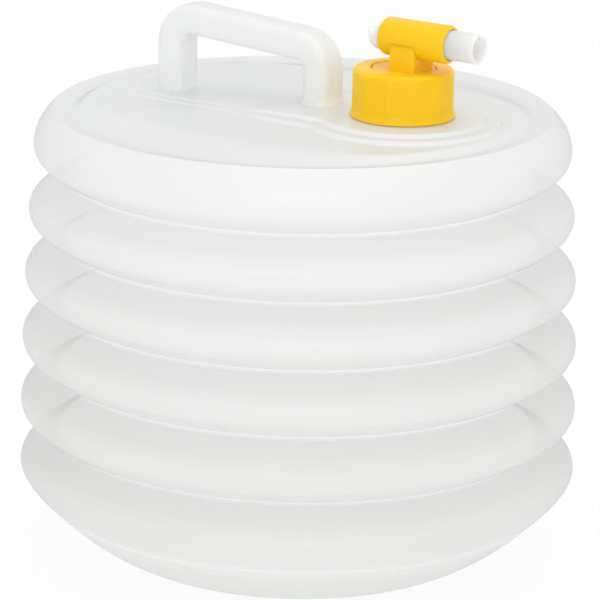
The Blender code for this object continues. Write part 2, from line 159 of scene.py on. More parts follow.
# Spout and seals
SPOUT_RADIUS = 0.00715
SPOUT_BORE_RADIUS = 0.0057
SEAL_DEPTH = 0.0009
SEAL_ROOM = 0.0009
SEAL_PLACES = (-0.0124, -0.0041, 0.0050)

# Fineness of the meshes
ROUND = 240
SMALL_ROUND = 96
COLLAR_ROUND = 144
JOIN_STEPS = 5
WALL_STEPS = 20
FOLD_STEPS = 24
BOWL_STEPS = 40
SLOPE_STEPS = 12
PLATE_STEPS = 20
PAD_SIDE_STEPS = 30
PAD_STEPS = 30
NECK_FILLET_STEPS = 5
THREAD_STEPS = 40
BEND_STEPS = 16
FOOT_STEPS = 8
HANDLE_CORNER_STEPS = 8
COLLAR_EDGE_STEPS = 4
COLLAR_FLARE_STEPS = 10
COLLAR_SIDE_STEPS = 6
COLLAR_SHOULDER_STEPS = 14
STEM_CORNER = 7
STEM_SIDE = 7
STEM_FILLET_STEPS = 5
STEM_STEPS = 6
SPOUT_DOME_STEPS = 16
SPOUT_LIP_STEPS = 8
SEARCH_STEPS = 40
SEARCH_REACH = 0.3
MERGE_DISTANCE = 1e-7
SHARP_ANGLE = 40
CRISP_ANGLE = 30

# Looks of the bag's milky skin; each alpha is given face on and edge on
# The low colour is painted shade: the skin is painted darker and a little greener towards the bottom of
# the bag.
SKIN_LOW_PAINTED_SHADE_COLOUR = (0.885, 0.896, 0.870)
SKIN_HIGH_COLOUR = (0.905, 0.918, 0.908)
SKIN_ALPHA = (0.78, 0.98)
HANDLE_ALPHA = (0.84, 1.00)
SKIN_ROUGHNESS = (0.27, 0.33)
# Crease and valley alphas clear the skin round each crease: a painted highlight on the crease line and
# painted light in the valley beside it.
CREASE_WIDTH = 0.0010
CREASE_HIGHLIGHT_ALPHA = 0.66
VALLEY_WIDTH = 0.0090
VALLEY_PAINTED_LIGHT_ALPHA = 0.70
DEPTH_TINT = (0.978, 0.980, 0.980, 1)
DEPTH_IOR = 1.006
LOW_GLOW = 0.42
HIGH_GLOW = 0.16
MOTTLE = 0.25
MOTTLE_SCALE = 22.0
MOTTLE_DETAIL = 4.0
MOTTLE_STRETCH = (1, 1, 0.35)
WAVE_SCALE = 14.0
WAVE_STRENGTH = 0.25
WAVE_HEIGHT = 0.0015

# Looks that the moulded plastics and the seals share
PLASTIC_IOR = 1.5
PLAIN_DETAIL = 3.0
SMOOTH_DETAIL = 2.0
TINT_SHARES = (0.3, 0.7)
GRAIN_HEIGHT = 0.0001

# Camera as the photograph was taken, about 1.8 m away and 16 degrees above level
VIEW_AZIMUTH = math.radians(34)
VIEW_ELEVATION = math.radians(15.83)
VIEW_DISTANCE = 1.8
VIEW_HEIGHT = 0.638
VIEW_ROLL = 0.020
VIEW_END = 30
LENS = 227.46
SENSOR_WIDTH = 36

# Studio light and floor
LIGHT_TARGET = (0, 0, 0.12)
KEY_PLACE = (1.0, -1.55, 0.8)
KEY_SIZE = 1.4
KEY_POWER = 5.6
TOP_PLACE = (0.2, 0.1, 2.2)
TOP_SIZE = 1.6
TOP_POWER = 7.6
WORLD_LIGHT = 0.88
FLOOR_SIZE = 12.0
FLOOR_DROP = 0.0002
FLOOR_COLOUR = (0.9, 0.9, 0.9, 1)
FLOOR_ROUGHNESS = 0.8
FLOOR_GLOW = 0.88

# Places that the boxes of the nodes give
FOLDS = [f"fold_{number}" for number in range(1, 6)]
FOLD_LOW = [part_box(name)[0].z for name in FOLDS]
FOLD_HIGH = [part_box(name)[1].z for name in FOLDS]
CREST_HEIGHTS = [FOLD_LOW[0]]
CREST_HEIGHTS += [(high + low) / 2 for high, low in zip(FOLD_HIGH, FOLD_LOW[1:])]
CREST_HEIGHTS += [FOLD_HIGH[-1]]
CREST_RADII = [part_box(name)[1].x for name in FOLDS] + [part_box("top_shell")[1].x]
NECK_LOW, NECK_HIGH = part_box("neck")
NECK_X = (NECK_LOW.x + NECK_HIGH.x) / 2
NECK_RIM = NECK_HIGH.z
NECK_RADIUS = NECK_BORE_RADIUS + NECK_WALL
PLATEAU_HEIGHT = SHOULDER_HEIGHT + PLATEAU_RISE
PAD_HEIGHT = PLATEAU_HEIGHT + PAD_RISE
HANDLE_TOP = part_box("handle")[1].z
COLLAR_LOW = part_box("screw_collar")[0].z
COLLAR_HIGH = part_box("screw_collar")[1].z
TAP_X = NECK_X + TAP_OFFSET
TAP_LOW, TAP_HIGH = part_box("tap_body")
BARREL_HEIGHT = TAP_HIGH.z - BARREL_RADIUS
BARREL_FRONT = TAP_HIGH.x - TAP_X
DISC_LOW = TAP_LOW.z + SPIGOT_DEPTH
DISC_TOP = DISC_LOW + DISC_THICKNESS
HUB_TOP = COLLAR_HIGH - HUB_BELOW_COLLAR
SPOUT_LOW, SPOUT_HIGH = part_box("spout_tube")
SPOUT_BACK = SPOUT_LOW.x - TAP_X + SPOUT_RADIUS
SPOUT_FRONT = SPOUT_HIGH.x - TAP_X


def add_piece(name, vertices, faces, material, body, nodes, sharp=SHARP_ANGLE):
    """A named mesh on its body and the nodes that it stands for."""
    mesh = bpy.data.meshes.new(name)
    mesh.from_pydata([tuple(point) for point in vertices], [], faces)
    builder = bmesh.new()
    builder.from_mesh(mesh)
    bmesh.ops.remove_doubles(builder, verts=builder.verts, dist=MERGE_DISTANCE)
    bmesh.ops.recalc_face_normals(builder, faces=builder.faces)
    builder.to_mesh(mesh)
    builder.free()
    mesh.shade_smooth()
    mesh.set_sharp_from_angle(angle=math.radians(sharp))
    piece = bpy.data.objects.new(name, mesh)
    bpy.context.scene.collection.objects.link(piece)
    piece.data.materials.append(material)
    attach(piece, body)
    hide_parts(*nodes)
    return piece


def loft(rings, closed=True, caps=False):
    """Quads between rings of equal length; a ring of one point is a pole."""
    vertices = []
    starts = []
    for ring in rings:
        starts.append(len(vertices))
        vertices += ring
    faces = []
    pairs = list(zip(range(len(rings)), range(1, len(rings))))
    if closed:
        pairs.append((len(rings) - 1, 0))
    for first, second in pairs:
        one, two = rings[first], rings[second]
        count = max(len(one), len(two))
        for step in range(count):
            following = (step + 1) % count
            corners = [starts[first] + step % len(one), starts[first] + following % len(one)]
            corners += [starts[second] + following % len(two), starts[second] + step % len(two)]
            unique = list(dict.fromkeys(corners))
            if len(unique) > 2:
                faces.append(unique)
    if caps:
        faces.append([starts[0] + step for step in range(len(rings[0]))])
        faces.append([starts[-1] + step for step in range(len(rings[-1]))])
    return vertices, faces


def round_point(radius, angle, height, centre_x):
    return Vector((centre_x + radius * math.cos(angle), radius * math.sin(angle), height))


def circle(radius, height, count=ROUND, centre_x=0.0):
    if radius == 0:
        return [Vector((centre_x, 0, height))]
    points = []
    for step in range(count):
        points.append(round_point(radius, 2 * math.pi * step / count, height, centre_x))
    return points


def circle_along_x(radius, place, count=SMALL_ROUND):
    if radius == 0:
        return [Vector((TAP_X + place, 0, BARREL_HEIGHT))]
    points = []
    for step in range(count):
        angle = 2 * math.pi * step / count
        across = radius * math.cos(angle)
        up = radius * math.sin(angle)
        points.append(Vector((TAP_X + place, across, BARREL_HEIGHT + up)))
    return points


def bulge(start, end, steps, curve=FOLD_CURVE):
    """Profile from a crest to a fold: upright at the crest, and flatter further in."""
    points = []
    for step in range(steps + 1):
        share = step / steps
        inward = (start[0] - end[0]) * share**curve
        points.append((start[0] - inward, start[1] + (end[1] - start[1]) * share))
    return points


def trimmed(points, length):
    """The polyline without its last stretch of this length."""
    kept = list(points)
    left = length
    while len(kept) > 2:
        gap = math.dist(kept[-1], kept[-2])
        if gap > left:
            break
        left -= gap
        kept.pop()
    share = left / math.dist(kept[-1], kept[-2])
    end = [a + (b - a) * share for a, b in zip(kept[-1], kept[-2])]
    kept[-1] = tuple(end)
    return kept


def rounded_join(before, after, reach):
    """Two profiles that share a corner, joined by a small curve there."""
    corner = before[-1]
    first = trimmed(before, reach)
    second = trimmed(after[::-1], reach)[::-1]
    middle = []
    for step in range(1, JOIN_STEPS):
        share = step / JOIN_STEPS
        middle.append(
            tuple(
                (1 - share) ** 2 * a + 2 * share * (1 - share) * b + share**2 * c
                for a, b, c in zip(first[-1], corner, second[0])
            )
        )
    return first + middle + second


def revolve(profile):
    return loft([circle(radius, height) for radius, height in profile], closed=False)


def smooth_step(share):
    return share * share * (3 - 2 * share)


def new_material(name):
    material = bpy.data.materials.new(name)
    material.use_nodes = True
    tree = material.node_tree
    shader = tree.nodes["Principled BSDF"]
    return material, tree, shader


def noise(tree, place, scale, detail=PLAIN_DETAIL, stretch=(1, 1, 1)):
    mapping = tree.nodes.new("ShaderNodeMapping")
    mapping.inputs["Scale"].default_value = stretch
    tree.links.new(place.outputs["Object"], mapping.inputs["Vector"])
    texture = tree.nodes.new("ShaderNodeTexNoise")
    texture.inputs["Scale"].default_value = scale
    texture.inputs["Detail"].default_value = detail
    tree.links.new(mapping.outputs["Vector"], texture.inputs["Vector"])
    return texture.outputs["Fac"]


def ramp(tree, value, low, high, dark, light):
    node = tree.nodes.new("ShaderNodeValToRGB")
    node.color_ramp.elements[0].position = low
    node.color_ramp.elements[0].color = (*dark, 1)
    node.color_ramp.elements[1].position = high
    node.color_ramp.elements[1].color = (*light, 1)
    tree.links.new(value, node.inputs["Fac"])
    return node.outputs["Color"]


def spread(tree, value, low, high, start=0.0, end=1.0):
    node = tree.nodes.new("ShaderNodeMapRange")
    node.inputs["From Min"].default_value = start
    node.inputs["From Max"].default_value = end
    node.inputs["To Min"].default_value = low
    node.inputs["To Max"].default_value = high
    tree.links.new(value, node.inputs["Value"])
    return node.outputs["Result"]


def bump(tree, shader, value, strength, distance):
    node = tree.nodes.new("ShaderNodeBump")
    node.inputs["Strength"].default_value = strength
    node.inputs["Distance"].default_value = distance
    tree.links.new(value, node.inputs["Height"])
    tree.links.new(node.outputs["Normal"], shader.inputs["Normal"])


def math_node(tree, operation, one, two=None):
    node = tree.nodes.new("ShaderNodeMath")
    node.operation = operation
    for socket, value in zip(node.inputs, (one, two)):
        if value is None:
            continue
        if isinstance(value, (int, float)):
            socket.default_value = value
        else:
            tree.links.new(value, socket)
    return node.outputs["Value"]


def from_crease(tree, height, heights):
    """How far the skin is, up or down, from the nearest of the heights where it is folded sharply."""
    nearest = None
    for crease in heights:
        away = math_node(tree, "ABSOLUTE", math_node(tree, "SUBTRACT", height, crease))
        nearest = math_node(tree, "MINIMUM", nearest, away) if nearest else away
    return nearest


def crease_painted_light(tree, away):
    """Clearer towards each fold's crease, and clearer still on the crease, so that the white backdrop
    shows through: painted light in the valleys and a painted highlight along each crease.
    """
    valley = spread(tree, away, VALLEY_PAINTED_LIGHT_ALPHA, 1.0, 0.0, VALLEY_WIDTH)
    line = spread(tree, away, CREASE_HIGHLIGHT_ALPHA, 1.0, CREASE_WIDTH / 2, CREASE_WIDTH)
    return math_node(tree, "MULTIPLY", valley, line)


def see_through(tree, shader, face_on, edge_on, away):
    """A milky wall hides more of what is behind it where it is seen edge on.

    The far wall, seen from inside, is left out, since the milky wall blurs it to plain white."""
    weight = tree.nodes.new("ShaderNodeLayerWeight")
    weight.inputs["Blend"].default_value = 0.5
    alpha = spread(tree, weight.outputs["Facing"], face_on, edge_on)
    # Painted light: the skin is clearer round each crease, so that the white backdrop lightens the
    # valleys and draws a painted highlight along the crease.
    alpha = math_node(tree, "MULTIPLY", alpha, crease_painted_light(tree, away))
    inside = tree.nodes.new("ShaderNodeNewGeometry").outputs["Backfacing"]
    outside = math_node(tree, "SUBTRACT", 1.0, inside)
    mix = tree.nodes.new("ShaderNodeMixShader")
    tree.links.new(math_node(tree, "MULTIPLY", alpha, outside), mix.inputs["Fac"])
    clear = tree.nodes.new("ShaderNodeBsdfTransparent")
    tree.links.new(clear.outputs["BSDF"], mix.inputs[1])
    tree.links.new(shader, mix.inputs[2])
    tree.links.new(mix.outputs["Shader"], tree.nodes["Material Output"].inputs["Surface"])


def glow_through(tree, shader, colour, share):
    """The milky wall passes on a share of the light that falls on its other side."""
    through = tree.nodes.new("ShaderNodeBsdfTranslucent")
    tree.links.new(colour, through.inputs["Color"])
    mix = tree.nodes.new("ShaderNodeMixShader")
    tree.links.new(share, mix.inputs["Fac"])
    tree.links.new(shader.outputs["BSDF"], mix.inputs[1])
    tree.links.new(through.outputs["BSDF"], mix.inputs[2])
    return mix.outputs["Shader"]


def bag_material(name, face_on, edge_on):
    """Milky polyethylene: light passes through, with a soft sheen and faint mottling. Its colour is
    painted darker and a little greener towards the bottom as shade, and the skin is clearer round each
    crease, which paints light into the valleys and a highlight along each crease.
    """
    material, tree, shader = new_material(name)
    material.use_backface_culling = True
    place = tree.nodes.new("ShaderNodeTexCoord")
    separate = tree.nodes.new("ShaderNodeSeparateXYZ")
    tree.links.new(place.outputs["Object"], separate.inputs["Vector"])
    height = separate.outputs["Z"]
    mottle = noise(tree, place, MOTTLE_SCALE, MOTTLE_DETAIL, MOTTLE_STRETCH)
    # Painted shade: the colour darkens towards the bottom of the bag, with the random mottle added on
    # top.
    tint = spread(tree, height, 0.0, 1.0, BASE_EDGE_HEIGHT, SHOULDER_HEIGHT)
    tint = math_node(tree, "ADD", tint, spread(tree, mottle, -MOTTLE, MOTTLE))
    colour = ramp(tree, tint, 0.0, 1.0, SKIN_LOW_PAINTED_SHADE_COLOUR, SKIN_HIGH_COLOUR)
    tree.links.new(colour, shader.inputs["Base Color"])
    waves = noise(tree, place, WAVE_SCALE, SMOOTH_DETAIL)
    tree.links.new(spread(tree, waves, *SKIN_ROUGHNESS), shader.inputs["Roughness"])
    bump(tree, shader, waves, WAVE_STRENGTH, WAVE_HEIGHT)
    shader.inputs["IOR"].default_value = PLASTIC_IOR
    shader.inputs["Coat Weight"].default_value = 1.0
    shader.inputs["Coat IOR"].default_value = DEPTH_IOR
    shader.inputs["Coat Tint"].default_value = DEPTH_TINT
    creases = [(one + two) / 2 for one, two in zip(CREST_HEIGHTS, CREST_HEIGHTS[1:])]
    away = from_crease(tree, height, creases + [BASE_EDGE_HEIGHT])
    share = spread(tree, height, LOW_GLOW, HIGH_GLOW, BASE_EDGE_HEIGHT, SHOULDER_HEIGHT)
    body = glow_through(tree, shader, colour, share)
    see_through(tree, body, face_on, edge_on, away)
    return material


def grained_material(name, colours, tint_scale, roughness, gloss_scale, grain_scale, grain_strength):
    """Moulded plastic or rubber with slight changes of tint and gloss, and a fine grain."""
    material, tree, shader = new_material(name)
    place = tree.nodes.new("ShaderNodeTexCoord")
    colour = ramp(tree, noise(tree, place, tint_scale), *TINT_SHARES, *colours)
    tree.links.new(colour, shader.inputs["Base Color"])
    gloss = spread(tree, noise(tree, place, gloss_scale), *roughness)
    tree.links.new(gloss, shader.inputs["Roughness"])
    grain = noise(tree, place, grain_scale, SMOOTH_DETAIL)
    bump(tree, shader, grain, grain_strength, GRAIN_HEIGHT)
    shader.inputs["IOR"].default_value = PLASTIC_IOR
    return material, shader


def let_light_in(shader, weight, reach):
    """Light enters the plastic and leaves it a little further on, red, green and blue by their reach."""
    shader.inputs["Subsurface Weight"].default_value = weight
    shader.inputs["Subsurface Radius"].default_value = reach
    shader.inputs["Subsurface Scale"].default_value = 1.0


def yellow_material():
    """Yellow moulded plastic with a fine satin texture."""
    material, shader = grained_material(
        "tap_plastic",
        colours=((0.965, 0.570, 0.003), (0.985, 0.598, 0.006)),
        tint_scale=60.0,
        roughness=(0.30, 0.42),
        gloss_scale=300.0,
        grain_scale=1500.0,
        grain_strength=0.05,
    )
    shader.inputs["Specular IOR Level"].default_value = 0.25
    let_light_in(shader, weight=0.35, reach=(0.0018, 0.0010, 0.0002))
    return material


def spout_material():
    """Natural white tube plastic."""
    material, shader = grained_material(
        "spout_plastic",
        colours=((0.89, 0.88, 0.84), (0.93, 0.92, 0.89)),
        tint_scale=80.0,
        roughness=(0.28, 0.38),
        gloss_scale=300.0,
        grain_scale=900.0,
        grain_strength=0.05,
    )
    let_light_in(shader, weight=1.0, reach=(0.009, 0.009, 0.0085))
    return material


def rubber_material():
    """Soft pale seals."""
    material, _ = grained_material(
        "seal_rubber",
        colours=((0.52, 0.52, 0.51), (0.58, 0.58, 0.57)),
        tint_scale=200.0,
        roughness=(0.6, 0.75),
        gloss_scale=500.0,
        grain_scale=2500.0,
        grain_strength=0.08,
    )
    return material


def make_base(material):
    """Lower half of the base bulge, its edge ring, the bowl, the foot ring and the dished middle."""
    top = CREST_HEIGHTS[0]
    edge = (BASE_EDGE_RADIUS, BASE_EDGE_HEIGHT)
    wall = bulge((CREST_RADII[0], top), edge, WALL_STEPS, BASE_CURVE)
    bowl = []
    for step in range(BOWL_STEPS + 1):
        share = step / BOWL_STEPS
        radius = BASE_EDGE_RADIUS + (FOOT_RADIUS - BASE_EDGE_RADIUS) * share
        bowl.append((radius, BASE_EDGE_HEIGHT * (1 - share) ** BOWL_CURVE))
    foot_inside = FOOT_RADIUS - FOOT_WIDTH
    dish = [(foot_inside, 0.0), (foot_inside - DISH_WIDTH, DISH_RISE)]
    outer = rounded_join(wall, bowl, EDGE_REACH)
    outer += rounded_join(dish, [dish[-1], (0.0, DISH_RISE)], FOOT_REACH)
    vertices, faces = revolve(outer)
    return add_piece("bag_base", vertices, faces, material, "base", ["base_shell"])


def make_bellows(material):
    """The five V folds as one skin."""
    outer = []
    for index in range(len(FOLDS)):
        start = (CREST_RADII[index], CREST_HEIGHTS[index])
        end = (CREST_RADII[index + 1], CREST_HEIGHTS[index + 1])
        valley = ((start[0] + end[0]) / 2 - FOLD_DEPTH, (start[1] + end[1]) / 2)
        lower = bulge(start, valley, FOLD_STEPS)
        upper = bulge(end, valley, FOLD_STEPS)[::-1]
        fold = rounded_join(lower, upper, CREASE_REACH)
        outer += fold if not outer else fold[1:]
    vertices, faces = revolve(outer)
    skin = add_piece("bag_bellows", vertices, faces, material, "base", FOLDS)
    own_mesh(skin)
    return skin


def reach_to(direction, inside):
    """Distance from the neck's axis to the edge of a shape, along a direction."""
    low, high = 0.0, SEARCH_REACH
    for _ in range(SEARCH_STEPS):
        middle = (low + high) / 2
        if inside(NECK_X + direction[0] * middle, direction[1] * middle):
            low = middle
        else:
            high = middle
    return low


def in_plateau(x, y):
    """The flat top: a disc that is cut off along both sides, with soft corners."""
    round_share = math.hypot(x, y) / PLATEAU_RADIUS
    flat_share = abs(y) / PLATEAU_HALF_WIDTH
    return round_share**PLATEAU_CORNERS + flat_share**PLATEAU_CORNERS < 1


def in_pad(x, y, grown=0.0):
    """The bar under the handle, narrower towards its round end, and the disc round the neck."""
    if math.hypot(x - NECK_X, y) < BOSS_RADIUS + grown:
        return True
    if x > NECK_X:
        return False
    share = min(1.0, max(0.0, (x - HANDLE_BACK) / (HANDLE_FRONT - HANDLE_BACK)))
    half = PAD_END_HALF_WIDTH + (PAD_HALF_WIDTH - PAD_END_HALF_WIDTH) * share + grown
    behind = max(0.0, HANDLE_BACK - x)
    return (behind / (PAD_END + grown)) ** 2 + (y / half) ** 2 < 1


def thread(angle, height, low, high):
    """How far a thread stands out at this angle and height: a round ridge that fades at both ends."""
    if height < low or height > high:
        return 0.0
    turn = (height / THREAD_PITCH - angle / (2 * math.pi)) % 1.0
    ridge = min(1.0, max(0.0, -THREAD_STEEPNESS * math.cos(2 * math.pi * turn) - THREAD_GAP))
    ends = min(1.0, (height - low) / THREAD_RUN_OUT, (high - height) / THREAD_RUN_OUT)
    return THREAD_HEIGHT * ridge * ends


def dome(x, y):
    """The plate's slight crown."""
    return DOME_RISE * (1 - min(1.0, (math.hypot(x, y) / PLATEAU_RADIUS) ** 2))


def dip(x, y):
    """How far the soft plate sinks round the handle's back post."""
    across = (x - DIP_PLACE[0]) / DIP_REACH[0]
    along = (y - DIP_PLACE[1]) / DIP_REACH[1]
    return DIP_DEPTH * max(0.0, 1 - across**2 - along**2) ** 2


def plate_height(x, y):
    """The plate stands a little above its shoulder, and sinks round the back post."""
    return SHOULDER_HEIGHT + PLATE_RISE + dome(x, y) / 2 - dip(x, y)


def pad_height(x, y):
    """Level round the neck and the front post, and falling towards the back post."""
    share = (PAD_LEVEL_FROM - x) / (PAD_LEVEL_FROM - HANDLE_BACK)
    fall = PAD_FALL * smooth_step(min(1.0, max(0.0, share)))
    return max(PAD_HEIGHT - fall, plate_height(x, y) + PAD_LEAST_RISE)


def rays_from_neck(ring):
    """Directions from the neck's axis to each point of a ring."""
    return [Vector((point.x - NECK_X, point.y)).normalized() for point in ring]


def ray_rings(rays, start, end, steps, height_of):
    """Rings between two reaches along each ray, without the first, at the heights asked for."""
    rings = []
    for step in range(1, steps + 1):
        share = step / steps
        ring = []
        for index, ray in enumerate(rays):
            reach = start[index] + (end[index] - start[index]) * share
            x, y = NECK_X + ray.x * reach, ray.y * reach
            ring.append(Vector((x, y, height_of(share, x, y))))
        rings.append(ring)
    return rings


def make_plate_rings(rays, edge, start_height):
    """From the shoulder over the slope, the flat and the pad to the neck's foot."""
    plateau = [reach_to(ray, in_plateau) for ray in rays]
    pad_foot = [reach_to(ray, lambda x, y: in_pad(x, y, PAD_SLOPE)) for ray in rays]
    pad_top = [reach_to(ray, in_pad) for ray in rays]
    fillet = [NECK_RADIUS + NECK_FILLET] * len(rays)
    neck = [NECK_RADIUS] * len(rays)

    def slope(share, x, y):
        return start_height + (plate_height(x, y) - start_height) * smooth_step(share)

    step_share = PAD_STEP / PAD_SLOPE

    def pad_side(share, x, y):
        low = plate_height(x, y)
        lower_step = smooth_step(min(1.0, share / step_share))
        upper_step = smooth_step(max(0.0, (share - 1 + step_share) / step_share))
        risen = PAD_STEP_SHARE * lower_step + (1 - PAD_STEP_SHARE) * upper_step
        return low + (pad_height(x, y) - low) * risen

    def neck_foot(share, x, y):
        return PAD_HEIGHT + NECK_FILLET * (1 - math.sqrt(max(0.0, 1 - share**2)))

    rings = ray_rings(rays, edge, plateau, SLOPE_STEPS, slope)
    rings += ray_rings(rays, plateau, pad_foot, PLATE_STEPS, lambda share, x, y: plate_height(x, y))
    rings += ray_rings(rays, pad_foot, pad_top, PAD_SIDE_STEPS, pad_side)
    rings += ray_rings(rays, pad_top, fillet, PAD_STEPS, lambda share, x, y: pad_height(x, y))
    return rings, ray_rings(rays, fillet, neck, NECK_FILLET_STEPS, neck_foot)


def make_neck_rings(rays):
    """The threaded outside, the sealing rim and the bore of the neck."""
    low = PAD_HEIGHT + NECK_FILLET
    high = NECK_RIM - NECK_EDGE

    def ray_ring(radius, height):
        return [Vector((NECK_X + ray.x * radius, ray.y * radius, height)) for ray in rays]

    rings = []
    for step in range(1, THREAD_STEPS + 1):
        height = low + (high - low) * step / THREAD_STEPS
        ring = []
        for ray in rays:
            angle = math.atan2(ray.y, ray.x)
            radius = NECK_RADIUS + thread(angle, height, low + NECK_EDGE, high - NECK_EDGE)
            ring.append(Vector((NECK_X + ray.x * radius, ray.y * radius, height)))
        rings.append(ring)
    rings.append(ray_ring(NECK_RADIUS - NECK_EDGE, NECK_RIM))
    rings.append(ray_ring(NECK_BORE_RADIUS + NECK_EDGE, NECK_RIM))
    rings.append(ray_ring(NECK_BORE_RADIUS, NECK_RIM - NECK_EDGE))
    rings.append(ray_ring(NECK_BORE_RADIUS, PAD_HEIGHT - BAG_WALL))
    rings.append(ray_ring(NECK_RADIUS, PAD_HEIGHT - BAG_WALL))
    return rings


def make_top(material):
    """The upper half of the top bulge, the shoulder, the plate, the pad and the threaded neck."""
    crest = (CREST_RADII[-1], CREST_HEIGHTS[-1])
    wall = bulge(crest, (SHOULDER_RADIUS, SHOULDER_HEIGHT), FOLD_STEPS)
    slope = [(SHOULDER_RADIUS, SHOULDER_HEIGHT)]
    slope.append((SHOULDER_RADIUS - SLOPE_START, SHOULDER_HEIGHT - SLOPE_FALL))
    shoulder = rounded_join(wall, slope, SHOULDER_REACH)
    outside = [circle(radius, height) for radius, height in shoulder]
    rays = rays_from_neck(outside[-1])
    edge = [math.hypot(point.x - NECK_X, point.y) for point in outside[-1]]
    plate, neck_foot = make_plate_rings(rays, edge, slope[-1][1])
    vertices, faces = loft(outside + plate + neck_foot + make_neck_rings(rays), closed=False)
    nodes = ["top_shell", "neck"]
    return add_piece("bag_top", vertices, faces, material, "top", nodes)


def rounded_section(thickness, width, rounding):
    """Points round a rectangle with rounded corners."""
    points = []
    for corner, (u_side, v_side) in enumerate(((1, 1), (-1, 1), (-1, -1), (1, -1))):
        for step in range(HANDLE_CORNER_STEPS + 1):
            angle = math.pi / 2 * (corner + step / HANDLE_CORNER_STEPS)
            u = u_side * (thickness / 2 - rounding) + rounding * math.cos(angle)
            v = v_side * (width / 2 - rounding) + rounding * math.sin(angle)
            points.append((u, v))
    return points


def flare_at(share):
    """How much wider the handle's post is on each side, at this share of the flare's height."""
    return HANDLE_FLARE * (1 - share) ** HANDLE_FLARE_CURVE


def handle_route():
    """Points of the handle's middle line, each with the angle of its outward side and its flare."""
    bend = HANDLE_BEND
    back = HANDLE_TOP - HANDLE_THICKNESS / 2 - bend
    front = back - HANDLE_FALL
    tilt = math.atan(HANDLE_FALL / (HANDLE_FRONT - HANDLE_BACK - 2 * bend))
    upright = math.pi / 2 - tilt
    foot = PAD_HEIGHT - BAG_WALL / 4
    route = []
    for step in range(FOOT_STEPS + 1):
        share = step / FOOT_STEPS
        height = foot - PAD_FALL + HANDLE_FLARE_HEIGHT * share
        route.append((HANDLE_BACK, height, math.pi, flare_at(share)))
    for step in range(BEND_STEPS + 1):
        angle = math.pi - step * (math.pi - upright) / BEND_STEPS
        x = HANDLE_BACK + bend + bend * math.cos(angle)
        route.append((x, back + bend * math.sin(angle), angle, 0.0))
    for step in range(BEND_STEPS + 1):
        angle = upright - step * upright / BEND_STEPS
        x = HANDLE_FRONT - bend + bend * math.cos(angle)
        route.append((x, front + bend * math.sin(angle), angle, 0.0))
    for step in range(FOOT_STEPS + 1):
        share = 1 - step / FOOT_STEPS
        height = foot + HANDLE_FLARE_HEIGHT * share
        route.append((HANDLE_FRONT, height, 0.0, flare_at(share)))
    return route


def make_handle(material):
    """The carry handle: two posts and a grip of one rounded section, flared at its feet."""
    rings = []
    for x, z, angle, flare in handle_route():
        outward = Vector((math.cos(angle), 0, math.sin(angle)))
        grown = HANDLE_THICKNESS + 2 * flare, HANDLE_WIDTH + 2 * flare
        section = rounded_section(*grown, HANDLE_ROUNDING + flare)
        rings.append([Vector((x, v, z)) + outward * u for u, v in section])
    vertices, faces = loft(rings, closed=False, caps=True)
    return add_piece("bag_handle", vertices, faces, material, "top", ["handle"])


def smooth_least(one, two):
    """The smaller of two radii, blended softly where they are nearly equal."""
    total = math.exp(-one / COLLAR_SOFTNESS) + math.exp(-two / COLLAR_SOFTNESS)
    return -COLLAR_SOFTNESS * math.log(total)


def collar_outline(angle, limit):
    """Radius of the collar at an angle: twelve flats with soft edges, cut back by a round limit."""
    step = 2 * math.pi / COLLAR_FLATS
    offset = (angle + step / 2) % step - step / 2
    flat = COLLAR_FLAT_RADIUS / math.cos(offset)
    return smooth_least(smooth_least(flat, COLLAR_FLAT_RADIUS * COLLAR_CORNER_SHARE), limit)


def collar_ring(height, limit, flange=0.0):
    """The collar's outline at one height, no further in than the flange's radius."""
    ring = []
    for step in range(COLLAR_ROUND):
        angle = 2 * math.pi * step / COLLAR_ROUND
        radius = max(collar_outline(angle, limit), flange)
        ring.append(round_point(radius, angle, height, NECK_X))
    return ring


def collar_outside():
    """Flange with a soft edge, the flats, and the rounded shoulder up to the top ring."""
    far = COLLAR_FLAT_RADIUS * COLLAR_BEYOND
    flange_top = COLLAR_LOW + COLLAR_FLANGE_HEIGHT
    rings = []
    for step in range(COLLAR_EDGE_STEPS + 1):
        angle = math.pi / 2 * step / COLLAR_EDGE_STEPS
        radius = COLLAR_FLANGE_RADIUS - COLLAR_EDGE + COLLAR_EDGE * math.sin(angle)
        rings.append(collar_ring(COLLAR_LOW + COLLAR_EDGE * (1 - math.cos(angle)), far, radius))
    for step in range(1, COLLAR_FLARE_STEPS + 1):
        share = step / COLLAR_FLARE_STEPS
        radius = COLLAR_FLANGE_RADIUS - COLLAR_FLARE * smooth_step(share)
        height = COLLAR_LOW + COLLAR_EDGE + (COLLAR_FLANGE_HEIGHT - COLLAR_EDGE) * share
        rings.append(collar_ring(height, far, radius))
    shoulder = COLLAR_HIGH - COLLAR_ROUNDING
    for step in range(1, COLLAR_SIDE_STEPS + 1):
        height = flange_top + (shoulder - flange_top) * step / COLLAR_SIDE_STEPS
        rings.append(collar_ring(height, far))
    corner = COLLAR_FLAT_RADIUS * COLLAR_TOP_CORNER_SHARE
    for step in range(1, COLLAR_SHOULDER_STEPS + 1):
        angle = math.pi / 2 * step / COLLAR_SHOULDER_STEPS
        limit = corner - COLLAR_ROUNDING + COLLAR_ROUNDING * math.cos(angle)
        rings.append(collar_ring(shoulder + COLLAR_ROUNDING * math.sin(angle), limit))
    return rings


